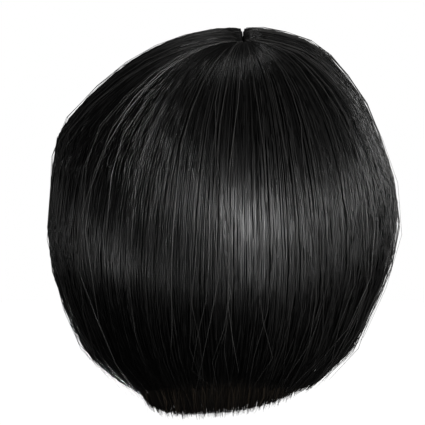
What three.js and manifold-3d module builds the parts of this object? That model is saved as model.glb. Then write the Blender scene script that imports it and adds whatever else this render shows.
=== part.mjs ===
// Short bob costume wig with a fringe: a net cap with a skin top, elastic edge bands, lace straps,
// ear tabs and nape adjusters, sewn over with rows of machine weft and a parted outer layer of hair.
// Millimetres, +Z up. The face opening looks towards -Y and +X is the wearer's left.
// The origin is where the top of the wearer's head meets the flat patch inside the crown.
import * as THREE from "three";
import { mergeVertices } from "three/addons/utils/BufferGeometryUtils.js";
import Module from "manifold-3d";

// ---------------------------------------------------------------- driving dimensions

// The cap's inner surface: half an ellipsoid over the head, and a longer half down to the neck.
const cap = {
  halfWidth: 76,
  halfLength: 96,
  levelZ: -85,
  apexZ: 1.9,
  neckDrop: 170,
};
const fabric = 0.8;
const bandThickness = 1.0;
const seam = 0.3;
const strapGap = 1.2;

// The outer surface of the dressed hair.
const hair = {
  halfWidth: 104,
  halfLength: 115,
  midY: 6,
  midZ: -97,
  topZ: 17,
  endTopZ: 13,
  drop: 118,
  skin: 3,
};
// The parting runs forward from the crown whorl, a little to the wearer's right.
const parting = { x: -13, whorlY: 38, frontY: -30 };
const underCentre = new THREE.Vector2(0, 14);

const gridStep = 12; // every hair layer bends on the same lines, so that nested layers keep their gaps
const frontEdge = 48; // where the fringe meets the side hair
const backEdge = 108; // where the side hair meets the back hair
const fringeEndPhi = 92;
const rowCount = 10;
const napeRows = 3;
const topRowZ = -22;
const bandHeight = 12;

const degrees = THREE.MathUtils.degToRad;
const { clamp, lerp, smoothstep } = THREE.MathUtils;

// ---------------------------------------------------------------- surfaces

// How far a point stands outside the cap's inner surface, as a growth of its half axes.
function standOff(p) {
  let low = -60;
  let high = 60;
  for (let i = 0; i < 40; i++) {
    const d = (low + high) / 2;
    const half = p.z > cap.levelZ ? cap.apexZ - cap.levelZ : cap.neckDrop;
    const reach =
      (p.x / (cap.halfWidth + d)) ** 2 +
      (p.y / (cap.halfLength + d)) ** 2 +
      ((p.z - cap.levelZ) / (half + d)) ** 2;
    if (reach > 1) low = d;
    else high = d;
  }
  return (low + high) / 2;
}

// A point of the cap at a plan angle (0 is the face, 90 the left ear, 180 the nape) and a polar angle.
function capPoint(angle, polar, d = 0) {
  const a = degrees(angle);
  const half = polar < 90 ? cap.apexZ - cap.levelZ : cap.neckDrop;
  const u = degrees(polar);
  return new THREE.Vector3(
    (cap.halfWidth + d) * Math.sin(u) * Math.sin(a),
    -(cap.halfLength + d) * Math.sin(u) * Math.cos(a),
    cap.levelZ + (half + d) * Math.cos(u),
  );
}

// The polar angle at which the cap's surface is at a height.
function polarAt(z) {
  const half = z > cap.levelZ ? cap.apexZ - cap.levelZ : cap.neckDrop;
  return THREE.MathUtils.radToDeg(Math.acos((z - cap.levelZ) / half));
}

// The cap's lower edge: hairline, temples, round the ears, and down to the nape.
const rimLine = [
  [0, -48],
  [30, -50],
  [60, -70],
  [78, -84],
  [98, -86],
  [112, -100],
  [135, -130],
  [155, -143],
  [180, -148],
];
function rimZ(angle) {
  const a = Math.abs(((angle + 180) % 360) - 180);
  const i = Math.min(
    rimLine.findIndex(([end]) => a <= end),
    rimLine.length - 1,
  );
  if (i <= 0) return rimLine[0][1];
  const [a0, z0] = rimLine[i - 1];
  const [a1, z1] = rimLine[i];
  return lerp(z0, z1, (a - a0) / (a1 - a0));
}

// A strand lies in an upright plane from the parting to the widest outline, then turns in under the bob.
// phi is 0 on the parting, 90 at the widest level and near 140 at the tips.
function strandPlane(angle, phi) {
  const a = degrees(angle);
  const outline = new THREE.Vector2(
    hair.halfWidth * Math.sin(a),
    hair.midY - hair.halfLength * Math.cos(a),
  );
  const root = new THREE.Vector2(
    parting.x,
    clamp(outline.y, parting.frontY, parting.whorlY),
  );
  const centre = root.clone().lerp(underCentre, smoothstep(phi, 50, 110));
  const along =
    (root.y - (parting.whorlY + parting.frontY) / 2) /
    ((parting.whorlY - parting.frontY) / 2);
  const topZ = lerp(hair.topZ, hair.endTopZ, along * along);
  return { outline, centre, topZ };
}

function hairPoint(angle, phi, scale = 1) {
  const { outline, centre, topZ } = strandPlane(angle, phi);
  const p = degrees(phi);
  const rise = phi < 90 ? topZ - hair.midZ : hair.drop;
  const flat = centre
    .clone()
    .lerp(outline, Math.sin(p) * scale);
  return new THREE.Vector3(
    flat.x,
    flat.y,
    hair.midZ + rise * Math.cos(p) * scale,
  );
}

// The same strand pressed down to stand d off the cap.
function layerPoint(angle, phi, d) {
  let low = 0.2;
  let high = 1.6;
  for (let i = 0; i < 30; i++) {
    const s = (low + high) / 2;
    if (standOff(hairPoint(angle, phi, s)) < d) low = s;
    else high = s;
  }
  return hairPoint(angle, phi, (low + high) / 2);
}

// The phi at which a strand's root is at a height on the cap.
function phiOnCap(angle, z) {
  let low = 2;
  let high = 150;
  for (let i = 0; i < 24; i++) {
    const phi = (low + high) / 2;
    if (layerPoint(angle, phi, 0).z > z) low = phi;
    else high = phi;
  }
  return (low + high) / 2;
}

// ---------------------------------------------------------------- closed solids from grids

// A closed solid between two grids: point(u, v, side), with u and v from 0 to 1,
// and side 0 on the inside and 1 on the outside.
function shell(columns, rows, point, { ring = false, pole = false } = {}) {
  const across = ring ? columns : columns + 1;
  const positions = [];
  const index = [];
  for (let side = 0; side < 2; side++)
    for (let j = 0; j <= rows; j++)
      for (let i = 0; i < across; i++)
        positions.push(...point(i / columns, j / rows, side).toArray());
  const at = (i, j, side) =>
    (side * (rows + 1) + j) * across + (ring ? i % columns : i);
  const quad = (a, b, c, d) => index.push(a, b, c, a, c, d);
  for (let j = 0; j < rows; j++)
    for (let i = 0; i < columns; i++) {
      const outer = [at(i, j, 1), at(i, j + 1, 1), at(i + 1, j + 1, 1)];
      const inner = [at(i, j, 0), at(i + 1, j + 1, 0), at(i, j + 1, 0)];
      index.push(...outer, ...inner);
      if (pole && j === 0) continue;
      index.push(at(i, j, 1), at(i + 1, j + 1, 1), at(i + 1, j, 1));
      index.push(at(i, j, 0), at(i + 1, j, 0), at(i + 1, j + 1, 0));
    }
  for (let i = 0; i < columns; i++) {
    if (!pole) quad(at(i, 0, 0), at(i, 0, 1), at(i + 1, 0, 1), at(i + 1, 0, 0));
    quad(at(i, rows, 0), at(i + 1, rows, 0), at(i + 1, rows, 1), at(i, rows, 1));
  }
  if (!ring)
    for (let j = 0; j < rows; j++) {
      quad(at(0, j, 0), at(0, j + 1, 0), at(0, j + 1, 1), at(0, j, 1));
      quad(
        at(columns, j, 0),
        at(columns, j, 1),
        at(columns, j + 1, 1),
        at(columns, j + 1, 0),
      );
    }
  const geometry = new THREE.BufferGeometry();
  geometry.setAttribute(
    "position",
    new THREE.Float32BufferAttribute(positions, 3),
  );
  geometry.setIndex(index);
  return facingOut(mergeVertices(geometry, 1e-4));
}

function facingOut(geometry) {
  const p = geometry.getAttribute("position");
  const corners = [0, 1, 2].map(() => new THREE.Vector3());
  const order = geometry.index.array;
  let volume = 0;
  for (let i = 0; i < order.length; i += 3) {
    corners.forEach((c, k) => c.fromBufferAttribute(p, order[i + k]));
    volume += corners[0].dot(corners[1].clone().cross(corners[2]));
  }
  if (volume < 0)
    for (let i = 0; i < order.length; i += 3)
      [order[i + 1], order[i + 2]] = [order[i + 2], order[i + 1]];
  geometry.computeVertexNormals();
  return geometry;
}

const wasm = await Module();
wasm.setup();

// One solid from several closed geometries that bite into each other.
function fused(geometries) {
  const solids = geometries.map((g) => {
    const bare = g.clone();
    bare.deleteAttribute("normal");
    bare.deleteAttribute("uv");
    const merged = mergeVertices(bare, 1e-4);
    return new wasm.Manifold(
      new wasm.Mesh({
        numProp: 3,
        vertProperties: merged.attributes.position.array,
        triVerts: new Uint32Array(merged.index.array),
      }),
    );
  });
  const mesh = solids.reduce((all, s) => all.add(s)).getMesh();
  const geometry = new THREE.BufferGeometry();
  geometry.setAttribute(
    "position",
    new THREE.BufferAttribute(mesh.vertProperties, 3),
  );
  geometry.setIndex(new THREE.BufferAttribute(mesh.triVerts, 1));
  geometry.computeVertexNormals();
  return geometry;
}

// ---------------------------------------------------------------- materials

const finish = (color, roughness, metalness = 0) =>
  new THREE.MeshStandardMaterial({ color, roughness, metalness });
const materials = {
  hair: finish(0x0b0a0a, 0.35),
  net: finish(0x141313, 0.9),
  lace: finish(0x161515, 0.85),
  band: finish(0x121212, 0.8),
  skinTop: finish(0x1a1816, 0.6),
  track: finish(0x0e0d0d, 0.75),
  lining: finish(0x1b1a1a, 0.9),
  hook: finish(0x101010, 0.35),
};

const wig = new THREE.Group();
function add(name, geometry, material, parent = wig) {
  const mesh = new THREE.Mesh(geometry, material);
  mesh.name = name;
  parent.add(mesh);
  return mesh;
}

// Half the cap is made once, and again as its mirror image on the wearer's right.
function bothSides(build) {
  for (const [side, sign] of [
    ["left", 1],
    ["right", -1],
  ]) {
    const half = new THREE.Group();
    half.scale.x = sign;
    wig.add(half);
    build(side, half);
  }
}

// ---------------------------------------------------------------- cap: patch, skin top and net

const patch = { radius: 10, thickness: 0.7 };
const patchDisc = new THREE.CylinderGeometry(
  patch.radius,
  patch.radius,
  patch.thickness,
  20,
);
patchDisc.rotateX(Math.PI / 2);
const crownPatch = add("crown_patch", patchDisc, materials.lining);
crownPatch.position.z = patch.thickness / 2;

// The skin top is an oval of fine base that the outer layer's hair grows from.
const skinTop = { halfWidth: 30, halfLength: 50, thickness: 0.9 };
function ovalPolar(angle, inset) {
  const a = degrees(angle);
  const across = (cap.halfWidth * Math.sin(a)) / (skinTop.halfWidth - inset);
  const along = (cap.halfLength * Math.cos(a)) / (skinTop.halfLength - inset);
  return THREE.MathUtils.radToDeg(Math.asin(1 / Math.hypot(across, along)));
}
add(
  "skin_top",
  shell(
    360 / gridStep,
    3,
    (u, v, side) =>
      capPoint(
        u * 360,
        v * ovalPolar(u * 360, seam),
        side * skinTop.thickness,
      ),
    { ring: true, pole: true },
  ),
  materials.skinTop,
);

// The net covers the top, front and temples, and stops high at the back, where straps take over.
const netBackZ = -50;
function netEdgeZ(angle) {
  const a = Math.abs(((angle + 180) % 360) - 180);
  const overBand = rimZ(a) + bandHeight + seam;
  return lerp(overBand, netBackZ, smoothstep(a, 84, 120));
}
add(
  "crown_net",
  shell(
    360 / gridStep,
    5,
    (u, v, side) => {
      const from = ovalPolar(u * 360, 0);
      const to = polarAt(netEdgeZ(u * 360));
      return capPoint(u * 360, lerp(from, to, v), side * fabric);
    },
    { ring: true },
  ),
  materials.net,
);

// ---------------------------------------------------------------- cap: edge bands and lace straps

// A band along the cap's lower edge between two plan angles.
function edgeBand(from, to, columns) {
  return shell(columns, 1, (u, v, side) => {
    const angle = lerp(from, to, u);
    const z = rimZ(angle) + v * bandHeight;
    return capPoint(angle, polarAt(z), side * bandThickness);
  });
}
const bandEnds = { front: 60, nape: 132 };
const bandGap = 0.15; // degrees each side of a joint between bands
add(
  "front_band",
  edgeBand(-bandEnds.front + bandGap, bandEnds.front - bandGap, 10),
  materials.band,
);
add(
  "nape_band",
  edgeBand(bandEnds.nape + bandGap, 360 - bandEnds.nape - bandGap, 8),
  materials.band,
);
bothSides((side, half) =>
  add(
    `side_band_${side}`,
    edgeBand(bandEnds.front + bandGap, bandEnds.nape - bandGap, 6),
    materials.band,
    half,
  ),
);

// Stretch lace straps run from the net down to the band at the back.
const strap = { count: 7, width: 9, spacing: 19 };
for (let k = 0; k < strap.count; k++) {
  const angle = 180 + (k - (strap.count - 1) / 2) * strap.spacing;
  const halfSpan = THREE.MathUtils.radToDeg(strap.width / 2 / cap.halfLength);
  add(
    `lace_strap_${k + 1}`,
    shell(1, 6, (u, v, side) => {
      const a = angle + (u - 0.5) * 2 * halfSpan;
      const top = netEdgeZ(a) - strapGap;
      const bottom = rimZ(a) + bandHeight + strapGap;
      return capPoint(a, polarAt(lerp(top, bottom, v)), side * fabric);
    }),
    materials.lace,
  );
}

// ---------------------------------------------------------------- cap: ear tabs with their stays

// A tab hangs in front of each ear from a fold line under the side band, and a flat stay stiffens it.
const tab = { from: 76, to: 96, topGap: 1.5, drop: 27, thickness: 1.0 };
const stay = { halfSpan: 0.9, inset: 3, from: -1.2, to: -0.4 };
const tabTopZ = (angle) => rimZ(angle) - tab.topGap;
bothSides((side, half) => {
  add(
    `ear_tab_${side}`,
    shell(4, 4, (u, v, skin) => {
      const rounding = Math.sqrt(1 - (0.9 * (2 * u - 1)) ** 2);
      const top = tabTopZ(lerp(tab.from, tab.to, 0.5));
      const z = top - v * tab.drop * (0.55 + 0.45 * rounding);
      return capPoint(
        lerp(tab.from, tab.to, u),
        polarAt(z),
        skin * tab.thickness,
      );
    }),
    materials.lining,
    half,
  );
  add(
    `ear_tab_stay_${side}`,
    shell(1, 3, (u, v, skin) => {
      const middle = (tab.from + tab.to) / 2;
      const top = tabTopZ(middle) - stay.inset;
      return capPoint(
        middle + (u - 0.5) * 2 * stay.halfSpan,
        polarAt(top - v * (tab.drop - 2 * stay.inset)),
        lerp(stay.from, stay.to, skin),
      );
    }),
    materials.hook,
    half,
  );
});

// ---------------------------------------------------------------- cap: nape adjusters

// An elastic strap inside each side of the nape ends in an eye round the bar of a plastic hook.
// Unhooked, it swings in from its sewn end, and the hook turns on its bar.
const adjuster = {
  anchorAngle: 126,
  aimAngle: 158,
  aboveRim: 6.5,
  inside: -2.6,
  length: 28,
  width: 6,
  thickness: 0.8,
  eyeRadius: 2.1,
  boreRadius: 1.4,
};
const hook = {
  barRadius: 0.9,
  armFrom: 3.4,
  armTo: 4.6,
  plateFrom: 3.2,
  plateTo: 14,
  thickness: 1.2,
  tongueGap: 1.3,
  tongueThickness: 0.9,
  tongueWidth: 4,
  tongueLength: 7,
};
const onRim = (angle, above, d) =>
  capPoint(angle, polarAt(rimZ(angle) + above), d);

// A frame on the cap's inside: +X along the edge towards the nape, +Y into the head space, +Z up.
function edgeFrame(fromAngle, toAngle, above, d) {
  const origin = onRim(fromAngle, above, d);
  const x = onRim(toAngle, above, d).sub(origin).normalize();
  const z = new THREE.Vector3(0, 0, 1);
  z.addScaledVector(x, -z.dot(x)).normalize();
  const y = z.clone().cross(x);
  const frame = new THREE.Group();
  frame.quaternion.setFromRotationMatrix(
    new THREE.Matrix4().makeBasis(x, y, z),
  );
  frame.position.copy(origin);
  return frame;
}

const upright = (depth, shape, curveSegments = 8) => {
  const g = new THREE.ExtrudeGeometry(shape, {
    depth,
    bevelEnabled: false,
    curveSegments,
  });
  g.translate(0, 0, -depth / 2);
  return g;
};

function adjusterStrap() {
  const t = adjuster.thickness / 2;
  const meet = Math.asin(t / adjuster.eyeRadius);
  const shape = new THREE.Shape();
  shape.moveTo(0, t);
  shape.lineTo(0, -t);
  shape.absarc(
    adjuster.length,
    0,
    adjuster.eyeRadius,
    -Math.PI + meet,
    Math.PI - meet,
    false,
  );
  shape.closePath();
  const bore = new THREE.Path();
  bore.absarc(adjuster.length, 0, adjuster.boreRadius, 0, 2 * Math.PI, true);
  shape.holes.push(bore);
  return upright(adjuster.width, shape, 12);
}

function box(x0, x1, y0, y1, z0, z1) {
  const g = new THREE.BoxGeometry(x1 - x0, y1 - y0, z1 - z0);
  g.translate((x0 + x1) / 2, (y0 + y1) / 2, (z0 + z1) / 2);
  return g;
}

function adjusterHook() {
  const t = hook.thickness / 2;
  const bar = new THREE.CylinderGeometry(
    hook.barRadius,
    hook.barRadius,
    2 * hook.armTo - 0.4,
    10,
  );
  bar.rotateX(Math.PI / 2);
  const arms = [-1, 1].map((s) =>
    box(
      -t * 1.6,
      hook.plateFrom + 0.3,
      -t,
      t,
      Math.min(s * hook.armFrom, s * hook.armTo),
      Math.max(s * hook.armFrom, s * hook.armTo),
    ),
  );
  const plate = box(
    hook.plateFrom,
    hook.plateTo,
    -t,
    t,
    -hook.armTo,
    hook.armTo,
  );
  const bend = hook.tongueGap / 2 + hook.tongueThickness;
  const tongue = new THREE.Shape();
  const bendY = -t - hook.tongueGap / 2;
  tongue.absarc(hook.plateTo, bendY, bend, Math.PI / 2, -Math.PI / 2, true);
  tongue.lineTo(hook.plateTo - hook.tongueLength, bendY - bend);
  tongue.lineTo(hook.plateTo - hook.tongueLength, bendY - hook.tongueGap / 2);
  tongue.lineTo(hook.plateTo, bendY - hook.tongueGap / 2);
  tongue.absarc(
    hook.plateTo,
    bendY,
    hook.tongueGap / 2,
    -Math.PI / 2,
    Math.PI / 2,
    false,
  );
  tongue.lineTo(hook.plateTo - 1, bendY + hook.tongueGap / 2);
  tongue.lineTo(hook.plateTo - 1, bendY + bend);
  tongue.closePath();
  return fused([bar, ...arms, plate, upright(hook.tongueWidth, tongue, 6)]);
}

// The hook goes into one of four loops on a tape, so that the cap can be drawn in by steps.
const tape = {
  from: 161,
  to: 176,
  inside: -2.4,
  length: 20.5,
  height: 9,
  thickness: 0.7,
};
const loop = {
  count: 4,
  first: 1,
  pitch: 5.2,
  width: 3,
  wall: 0.8,
  rise: 2.4,
  halfSpan: 3.9,
};
function loopTape() {
  const t = tape.thickness / 2;
  const strip = box(0, tape.length, -t, t, -tape.height / 2, tape.height / 2);
  const loops = Array.from({ length: loop.count }, (_, k) => {
    const x = loop.first + k * loop.pitch;
    const reach = loop.halfSpan - loop.wall;
    const top = t + loop.rise;
    return [
      box(x, x + loop.width, 0, top, reach, loop.halfSpan),
      box(x, x + loop.width, 0, top, -loop.halfSpan, -reach),
      box(x, x + loop.width, top - loop.wall, top, -reach - 0.1, reach + 0.1),
    ];
  });
  return fused([strip, ...loops.flat()]);
}

bothSides((side, half) => {
  const frame = edgeFrame(
    adjuster.anchorAngle,
    adjuster.aimAngle,
    adjuster.aboveRim,
    adjuster.inside,
  );
  half.add(frame);
  add(`adjuster_strap_${side}`, adjusterStrap(), materials.lace, frame);
  const turned = add(
    `adjuster_hook_${side}`,
    adjusterHook(),
    materials.hook,
    frame,
  );
  turned.position.x = adjuster.length;
  const base = edgeFrame(tape.from, tape.to, adjuster.aboveRim, tape.inside);
  half.add(base);
  add(`hook_loops_${side}`, loopTape(), materials.lace, base);
});

// ---------------------------------------------------------------- wefts round the back and sides

// Row 1 is sewn along the nape and row 10 round the crown. Each row's hair stands on the rows below it,
// so its level at a height is the number of the row that is rooted there.
const track = { from: 1.55, to: 2.1, heightPhi: 1.6 };
const layers = { base: 1.9, outerGap: 1.5, share: 0.5, tuck: 1.2 };
const rowEnds = {
  from: 72,
  upper: [120, 127],
  napeFrom: 120,
  nape: [120, 132, 141, 149],
  sideTurn: 8,
};

const rootZ = (angle, row) =>
  lerp(rimZ(angle) + 6, topRowZ, row / (rowCount - 1));
const rootPhi = (angle, row) => phiOnCap(angle, rootZ(angle, row));
function backLevel(angle, phi) {
  const first = rootZ(angle, 0);
  const z = layerPoint(angle, phi, 0).z;
  return ((z - first) / (topRowZ - first)) * (rowCount - 1);
}

// The space for wefts between the cap's face and the inner side of the outer layer.
function weftRoom(angle, phi) {
  const { centre } = strandPlane(angle, phi);
  const p = hairPoint(angle, phi);
  const axis = new THREE.Vector3(centre.x, centre.y, hair.midZ);
  const inner = hairPoint(angle, phi, 1 - hair.skin / p.distanceTo(axis));
  return standOff(inner) - layers.outerGap - layers.base;
}

// A row's hair as a closed layer that bends on the root lines of the rows below it.
function weftHair(from, to, row, lines, standing) {
  const columns = Math.round((to - from) / gridStep);
  return shell(columns, lines(from).length - 1, (u, v, side) => {
    const angle = lerp(from, to, u);
    const all = lines(angle);
    const phi = all[Math.round(v * (all.length - 1))];
    const { d, step } = standing(angle, phi, row);
    return layerPoint(angle, phi, d + side * step * layers.share);
  });
}
function weftTrack(from, to, root) {
  const columns = Math.round((to - from) / gridStep);
  return shell(columns, 1, (u, v, side) => {
    const angle = lerp(from, to, u);
    const phi = root(angle) - (1 - v) * track.heightPhi;
    return layerPoint(angle, phi, lerp(track.from, track.to, side));
  });
}

// Below the lowest row all the layers share the space, and close up a little towards their tips.
function backStanding(angle, phi, row) {
  const least = lerp(3, 9, smoothstep(phi, 142, 152));
  const room = Math.max(weftRoom(angle, phi), least);
  const z = backLevel(angle, phi);
  const level = z > 0 ? z : layers.tuck * (Math.exp(z / layers.tuck) - 1);
  const step = room / (rowCount + layers.tuck);
  return { d: layers.base + step * Math.max(row - level, 0), step };
}

for (let row = 0; row < rowCount; row++) {
  const isNape = row < napeRows;
  const from = isNape ? rowEnds.napeFrom : rowEnds.from;
  const number = String(row + 1).padStart(2, "0");
  const lines = (angle) => {
    const turn = Math.abs(180 - angle) / (180 - rowEnds.napeFrom);
    const ends = isNape
      ? rowEnds.nape.map(
          (phi) =>
            phi -
            rowEnds.sideTurn * turn * turn * Math.max(0, (phi - 132) / 20),
        )
      : rowEnds.upper;
    const roots = Array.from({ length: row }, (_, k) =>
      rootPhi(angle, row - 1 - k),
    );
    const start = rootPhi(angle, row) + 0.4;
    return [start, ...roots, ...ends];
  };
  add(
    `weft_track_${number}`,
    weftTrack(from, 360 - from, (angle) => rootPhi(angle, row)),
    materials.track,
  );
  add(
    `weft_hair_${number}`,
    weftHair(from, 360 - from, row, lines, backStanding),
    materials.hair,
  );
}

// ---------------------------------------------------------------- wefts of the fringe

const fringeRoots = [57, 47, 37];
const fringeEnds = [68, 79, 90];

function fringeStanding(angle, phi, row) {
  const [first, second] = fringeRoots;
  const pitch = first - second;
  const lowest = (first - fringeEndPhi) / pitch;
  const step = weftRoom(angle, phi) / (fringeRoots.length - lowest);
  return { d: layers.base + step * (row - (first - phi) / pitch), step };
}

fringeRoots.forEach((root, row) => {
  const roots = fringeRoots.slice(0, row).reverse();
  add(
    `fringe_track_${row + 1}`,
    weftTrack(-frontEdge, frontEdge, () => root),
    materials.track,
  );
  add(
    `fringe_weft_${row + 1}`,
    weftHair(
      -frontEdge,
      frontEdge,
      row,
      () => [root + 0.4, ...roots, ...fringeEnds],
      fringeStanding,
    ),
    materials.hair,
  );
});

// ---------------------------------------------------------------- outer layer from the parting

// Its hair is knotted into the skin top along the parting, stands up beside it and falls over the wefts.
const rootLine = { outer: 0.8, inner: 3.8, above: 1.2 };
const topStartPhi = 1.5;
const pieceGap = 0.25; // each side of a joint between pieces of the outer layer

function tipPhi(angle) {
  const a = Math.abs(((angle + 180) % 360) - 180);
  if (a < 100) return lerp(137, 141, smoothstep(a, frontEdge, 72));
  return lerp(141, 132, smoothstep(a, 100, 150));
}

function skinTopZ(x, y) {
  const a = cap.halfWidth + skinTop.thickness;
  const b = cap.halfLength + skinTop.thickness;
  const c = cap.apexZ - cap.levelZ + skinTop.thickness;
  return cap.levelZ + c * Math.sqrt(1 - (x / a) ** 2 - (y / b) ** 2);
}

function outerLayer(from, to, rows, endPhi) {
  const columns = Math.round((to - from) / gridStep);
  return shell(columns, rows + 1, (u, v, side) => {
    const line = Math.round(v * (rows + 1));
    const t = Math.max(line - 1, 0) / rows;
    const middle = from + u * (to - from);
    const phi = lerp(topStartPhi, endPhi(middle), t);
    const inset = THREE.MathUtils.radToDeg(
      pieceGap / (hair.halfWidth * Math.sin(degrees(phi))),
    );
    const angle = clamp(middle, from + inset, to - inset);
    const { centre, outline } = strandPlane(angle, phi);
    if (line === 0) {
      const out = outline.clone().sub(centre).normalize();
      const foot = centre
        .clone()
        .addScaledVector(out, side ? rootLine.outer : rootLine.inner);
      const z = skinTopZ(foot.x, foot.y) + rootLine.above;
      return new THREE.Vector3(foot.x, foot.y, z);
    }
    const reach = hairPoint(angle, phi).distanceTo(
      new THREE.Vector3(centre.x, centre.y, hair.midZ),
    );
    const p = hairPoint(angle, phi, 1 - ((1 - side) * hair.skin) / reach);
    if (line > 1 || side) return p;
    const out = outline.clone().sub(centre).normalize();
    return p.add(new THREE.Vector3(out.x, out.y, 0).multiplyScalar(2.4));
  });
}
add("crown_hair_back", outerLayer(backEdge, 360 - backEdge, 11, tipPhi), materials.hair);
add("crown_hair_left", outerLayer(frontEdge, backEdge, 11, tipPhi), materials.hair);
add("crown_hair_right", outerLayer(-backEdge, -frontEdge, 11, tipPhi), materials.hair);
add(
  "fringe_hair",
  outerLayer(-frontEdge, frontEdge, 8, () => fringeEndPhi),
  materials.hair,
);

export default wig;
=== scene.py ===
"""A short black bob costume wig, built piece by piece around its packed cap and joints.

Lengths are millimetres until a mesh is made, and mm turns them into metres there.
+Z is up, the face looks towards -Y and +X is the wearer's left.
"""
import math

import bmesh
import bpy
import numpy as np
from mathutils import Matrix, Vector


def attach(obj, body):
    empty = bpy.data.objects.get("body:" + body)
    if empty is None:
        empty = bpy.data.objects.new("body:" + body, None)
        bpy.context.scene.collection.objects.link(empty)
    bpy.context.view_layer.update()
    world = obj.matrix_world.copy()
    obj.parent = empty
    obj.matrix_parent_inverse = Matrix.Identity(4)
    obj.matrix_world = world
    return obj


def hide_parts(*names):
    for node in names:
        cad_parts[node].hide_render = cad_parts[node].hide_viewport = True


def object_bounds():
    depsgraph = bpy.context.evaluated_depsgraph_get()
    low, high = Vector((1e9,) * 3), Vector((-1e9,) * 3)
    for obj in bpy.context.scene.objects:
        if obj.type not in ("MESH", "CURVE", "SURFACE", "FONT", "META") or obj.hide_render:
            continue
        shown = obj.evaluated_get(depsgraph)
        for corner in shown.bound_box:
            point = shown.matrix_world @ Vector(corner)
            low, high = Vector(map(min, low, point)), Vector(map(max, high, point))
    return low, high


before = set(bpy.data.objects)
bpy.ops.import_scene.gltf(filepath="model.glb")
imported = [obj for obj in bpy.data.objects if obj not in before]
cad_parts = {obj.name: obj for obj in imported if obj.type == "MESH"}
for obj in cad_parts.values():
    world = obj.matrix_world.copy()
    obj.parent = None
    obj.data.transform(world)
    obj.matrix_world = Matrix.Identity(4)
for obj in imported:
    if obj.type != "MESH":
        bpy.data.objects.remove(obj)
cad_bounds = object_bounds()
mm = 0.001


# ---- Crown patch
# A round of black velvet lines the cap at the crown, where it rests on the head. It is cut from
# woven velvet, turned under at its rim and tacked down with one ring of stitches.

PATCH_STITCH_RING = 8.4
PATCH_STITCH_PITCH = 9
PATCH_STITCH_TURN = 5.5
STITCH_RADIUS = 0.16


class Term:
    """One output of a node, so that sums of node values are written as formulas."""

    def __init__(self, graph, node, socket):
        self.graph = graph
        self.node = node
        self.socket = socket

    def __getitem__(self, name):
        found = next(s for s in self.node.outputs if s.name == name and s.enabled)
        return Term(self.graph, self.node, found)

    def _sum(self, operation, a, b):
        is_vector = [isinstance(t, Term) and t.socket.type == "VECTOR" for t in (a, b)]
        if not any(is_vector):
            return self.graph.add("ShaderNodeMath", {"operation": operation}, {0: a, 1: b})
        if operation == "MULTIPLY" and not all(is_vector):
            vector, number = (a, b) if is_vector[0] else (b, a)
            inputs = {0: vector, "Scale": number}
            return self.graph.add("ShaderNodeVectorMath", {"operation": "SCALE"}, inputs)
        return self.graph.add("ShaderNodeVectorMath", {"operation": operation}, {0: a, 1: b})

    def __add__(self, other):
        return self._sum("ADD", self, other)

    def __radd__(self, other):
        return self._sum("ADD", other, self)

    def __sub__(self, other):
        return self._sum("SUBTRACT", self, other)

    def __rsub__(self, other):
        return self._sum("SUBTRACT", other, self)

    def __mul__(self, other):
        return self._sum("MULTIPLY", self, other)

    def __rmul__(self, other):
        return self._sum("MULTIPLY", other, self)

    def __truediv__(self, other):
        return self._sum("DIVIDE", self, other)

    def __pow__(self, other):
        return self._sum("POWER", self, other)


class Graph:
    """A node tree, and the one method that adds a node to it."""

    def __init__(self, tree):
        self.tree = tree

    def add(self, kind, settings=(), inputs=()):
        node = self.tree.nodes.new(kind)
        for name, value in dict(settings).items():
            setattr(node, name, value)
        for key, value in dict(inputs).items():
            socket = (
                node.inputs[key]
                if isinstance(key, int)
                else next(s for s in node.inputs if s.name == key and s.enabled)
            )
            if isinstance(value, Term):
                self.tree.links.new(value.socket, socket)
            else:
                socket.default_value = value
        output = next((s for s in node.outputs if s.enabled), None)
        return Term(self, node, output)


def geometry_tree(name, inputs):
    """A new Geometry Nodes tree with a geometry going in and out, and named inputs."""
    tree = bpy.data.node_groups.new(name, "GeometryNodeTree")
    tree.interface.new_socket("Geometry", in_out="INPUT", socket_type="NodeSocketGeometry")
    for label, (kind, default) in inputs.items():
        socket = tree.interface.new_socket(label, in_out="INPUT", socket_type="NodeSocket" + kind)
        if default is not None:
            socket.default_value = default
    tree.interface.new_socket("Geometry", in_out="OUTPUT", socket_type="NodeSocketGeometry")
    graph = Graph(tree)
    return graph, graph.add("NodeGroupInput")


def placed(name, data):
    """A new object at the origin that shows a mesh, a light or a camera."""
    piece = bpy.data.objects.new(name, data)
    bpy.context.scene.collection.objects.link(piece)
    return piece


def evaluated_mesh(holder):
    """The mesh that an object's modifiers make. The object itself is removed."""
    bpy.context.view_layer.update()
    made = bpy.data.meshes.new_from_object(holder.evaluated_get(bpy.context.evaluated_depsgraph_get()))
    bpy.data.objects.remove(holder)
    return made


def grown(name, mesh, tree, values):
    """The plain mesh that a tree makes from a mesh, as a new object."""
    holder = placed(name, mesh)
    modifier = holder.modifiers.new("grow", "NODES")
    modifier.node_group = tree
    for socket in tree.interface.items_tree:
        if socket.in_out == "INPUT" and socket.socket_type != "NodeSocketGeometry":
            modifier[socket.identifier] = values.get(socket.name, socket.default_value)
    return placed(name, evaluated_mesh(holder))


def new_material(name):
    material = bpy.data.materials.new(name)
    material.use_nodes = True
    material.node_tree.nodes.clear()
    return material, Graph(material.node_tree)


def finished(graph, shader):
    graph.add("ShaderNodeOutputMaterial", inputs={"Surface": shader})


def in_mm(graph):
    """Object coordinates in millimetres."""
    return graph.add("ShaderNodeTexCoord")["Object"] * 1000.0


def noise_at(graph, place, scale, detail=2.0):
    return graph.add(
        "ShaderNodeTexNoise", {"noise_dimensions": "3D"}, {"Vector": place, "Scale": scale, "Detail": detail}
    )


def mixed(graph, factor, dark, light):
    inputs = {"Factor": factor, "A": (*dark, 1), "B": (*light, 1)}
    return graph.add("ShaderNodeMix", {"data_type": "RGBA"}, inputs)["Result"]


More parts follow.
